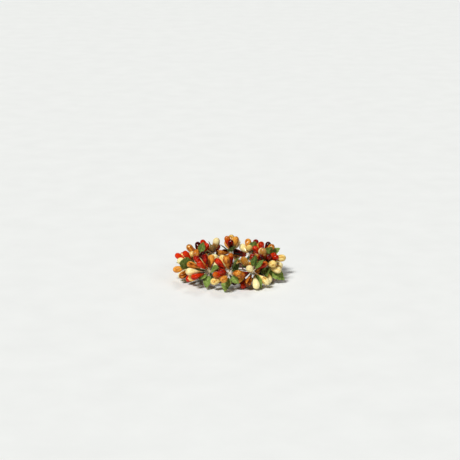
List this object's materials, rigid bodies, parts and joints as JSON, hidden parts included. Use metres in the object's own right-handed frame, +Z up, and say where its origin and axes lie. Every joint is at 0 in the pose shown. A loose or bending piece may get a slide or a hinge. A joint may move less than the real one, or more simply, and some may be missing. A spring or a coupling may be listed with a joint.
{
  "type": "candle ring",
  "caption": "Small wreath of lacquered pip berries and cloth leaves on a taped wire ring, worn at the foot of a taper candle on its candlestick.",
  "frame": {"origin": "on the candle's axis, level with the lowest berries, which a flat table would touch", "axes": "+Z up along the candle, -Y towards the front of the wreath as pictured, +X to the right"},
  "size_m": [0.0758, 0.0749, 0.0238],
  "materials": {
    "red_lacquer": "high gloss lacquer, scarlet to dark crimson",
    "orange_lacquer": "high gloss lacquer, caramel orange with brown streaks",
    "cream_lacquer": "gloss lacquer, cream with tan shading",
    "leaf_cloth": "starched satin cloth, mid green with pressed veins",
    "thread": "waxed pale thread",
    "stem_tape": "dark green stretched paper tape",
    "floral_tape": "dark maroon brown stretched paper tape",
    "steel_wire": "plain drawn wire"
  },
  "bodies": {
    "root": {"back_cream_berries": "cream_lacquer", "back_leaves": "leaf_cloth", "back_left_cream_berries": "cream_lacquer", "back_left_inner_cream_berries": "cream_lacquer", "back_left_inner_leaves": "leaf_cloth", "back_left_inner_orange_berries": "orange_lacquer", "back_left_inner_red_berries": "red_lacquer", "back_left_inner_threads": "thread", "back_left_leaves": "leaf_cloth", "back_left_orange_berries": "orange_lacquer", "back_left_red_berries": "red_lacquer", "back_left_threads": "thread", "back_orange_berries": "orange_lacquer", "back_red_berries": "red_lacquer", "back_right_cream_berries": "cream_lacquer", "back_right_inner_cream_berries": "cream_lacquer", "back_right_inner_leaves": "leaf_cloth", "back_right_inner_orange_berries": "orange_lacquer", "back_right_inner_red_berries": "red_lacquer", "back_right_inner_threads": "thread", "back_right_leaves": "leaf_cloth", "back_right_orange_berries": "orange_lacquer", "back_right_red_berries": "red_lacquer", "back_right_threads": "thread", "back_threads": "thread", "bunch_stems": "stem_tape", "bunch_ties": "thread", "core_wire": "steel_wire", "front_cream_berries": "cream_lacquer", "front_leaves": "leaf_cloth", "front_left_cream_berries": "cream_lacquer", "front_left_leaves": "leaf_cloth", "front_left_orange_berries": "orange_lacquer", "front_left_red_berries": "red_lacquer", "front_left_threads": "thread", "front_orange_berries": "orange_lacquer", "front_red_berries": "red_lacquer", "front_right_cream_berries": "cream_lacquer", "front_right_leaves": "leaf_cloth", "front_right_orange_berries": "orange_lacquer", "front_right_red_berries": "red_lacquer", "front_right_threads": "thread", "front_threads": "thread", "left_cream_berries": "cream_lacquer", "left_leaves": "leaf_cloth", "left_orange_berries": "orange_lacquer", "left_red_berries": "red_lacquer", "left_threads": "thread", "right_cream_berries": "cream_lacquer", "right_leaves": "leaf_cloth", "right_orange_berries": "orange_lacquer", "right_red_berries": "red_lacquer", "right_threads": "thread", "tape_sleeve": "floral_tape", "tape_wrap": "floral_tape"}
  },
  "joints": []
}
